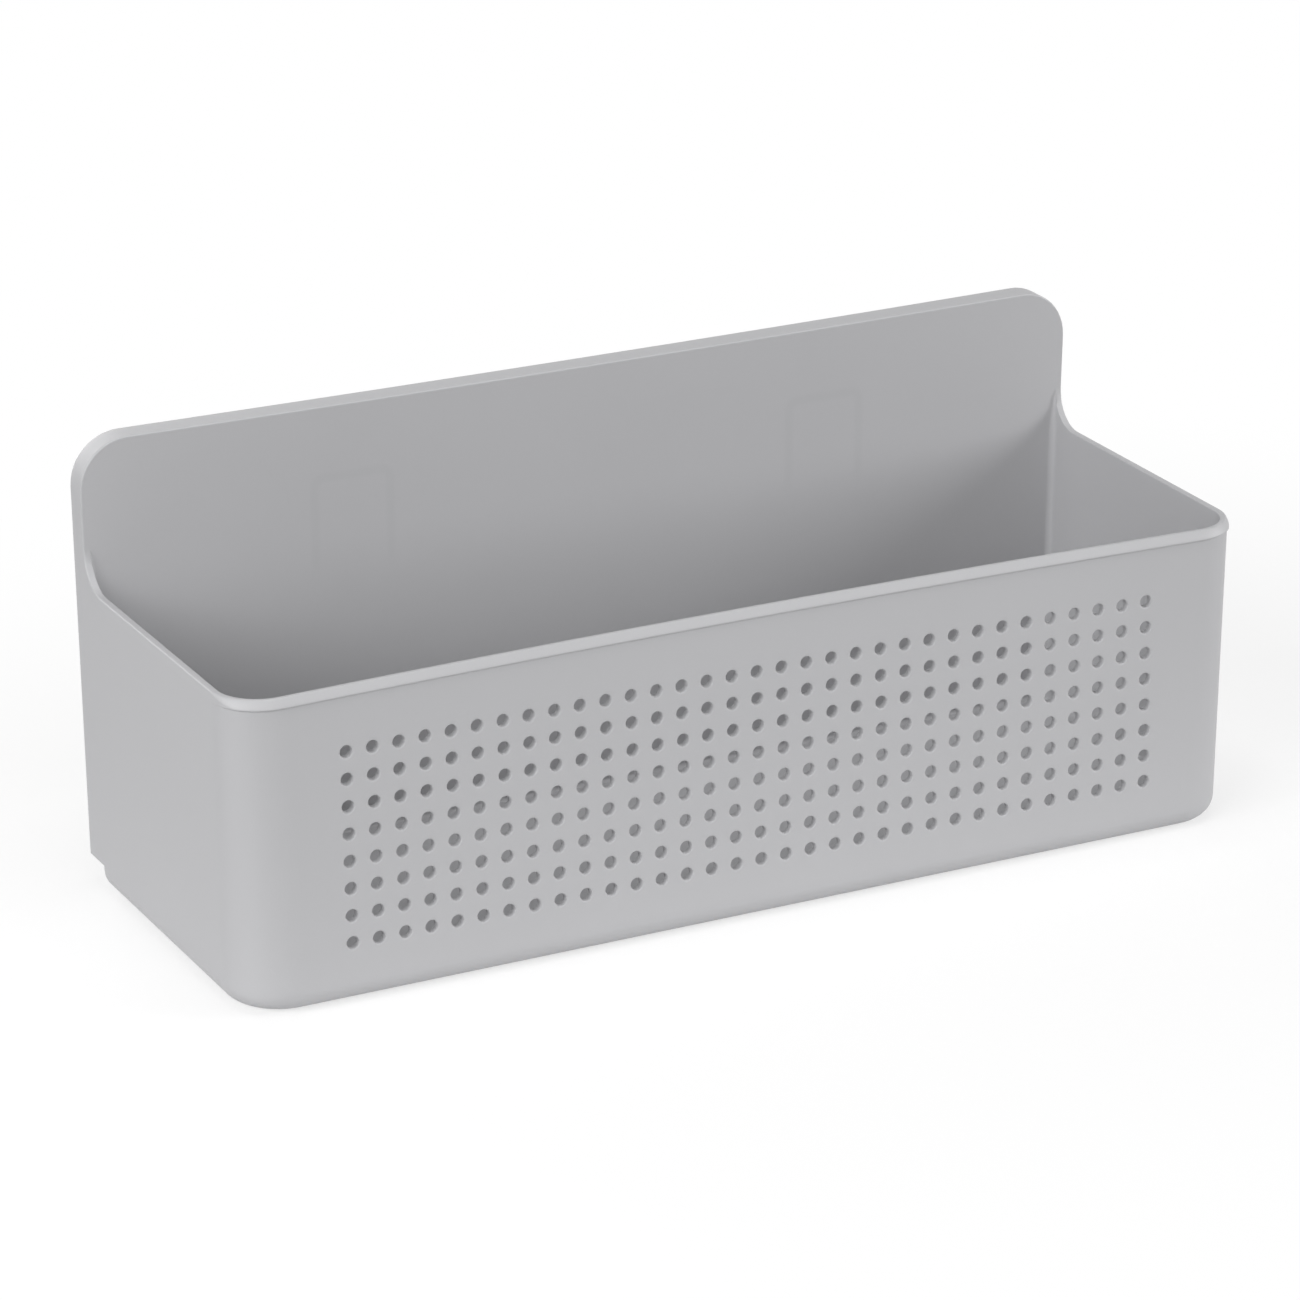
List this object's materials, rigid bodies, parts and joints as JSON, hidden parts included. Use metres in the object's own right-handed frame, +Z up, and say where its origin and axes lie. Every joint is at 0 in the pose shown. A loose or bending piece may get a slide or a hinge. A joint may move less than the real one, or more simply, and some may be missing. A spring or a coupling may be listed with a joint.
{
  "type": "adhesive wall organizer",
  "caption": "Open storage bin with a perforated front and a raised back plate, hung from adhesive-backed wall hangers.",
  "frame": {"origin": "middle of the space the object takes up in plan, at the height of the bin's flat underside", "axes": "+X to the right across the front, +Y back towards the wall, +Z up"},
  "size_m": [0.3242, 0.1176, 0.136],
  "materials": {
    "bin_plastic": "fine satin moulded grey",
    "hanger_plastic": "satin moulded off-white",
    "pad_foam": "closed-cell foam with a tacky face",
    "liner_film": "smooth coated release paper"
  },
  "bodies": {
    "bin": {"bin": "bin_plastic"},
    "hanger_left": {"hanger_left": "hanger_plastic", "adhesive_pad_left": "pad_foam"},
    "hanger_right": {"hanger_right": "hanger_plastic", "adhesive_pad_right": "pad_foam"},
    "liner_left": {"release_liner_left": "liner_film"},
    "liner_right": {"release_liner_right": "liner_film"}
  },
  "joints": [
    {"name": "hanger_left_slide", "type": "slide", "parent": "bin", "child": "hanger_left", "axis": [0, 0, -1], "range_m": [0, 0.03]},
    {"name": "hanger_right_slide", "type": "slide", "parent": "bin", "child": "hanger_right", "axis": [0, 0, -1], "range_m": [0, 0.03]},
    {"name": "liner_left_peel", "type": "hinge", "parent": "hanger_left", "child": "liner_left", "pos_m": [-0.078, 0.05865, 0.1175], "axis": [1, 0, 0], "range_deg": [0, 150]},
    {"name": "liner_right_peel", "type": "hinge", "parent": "hanger_right", "child": "liner_right", "pos_m": [0.078, 0.05865, 0.1175], "axis": [1, 0, 0], "range_deg": [0, 150]}
  ]
}
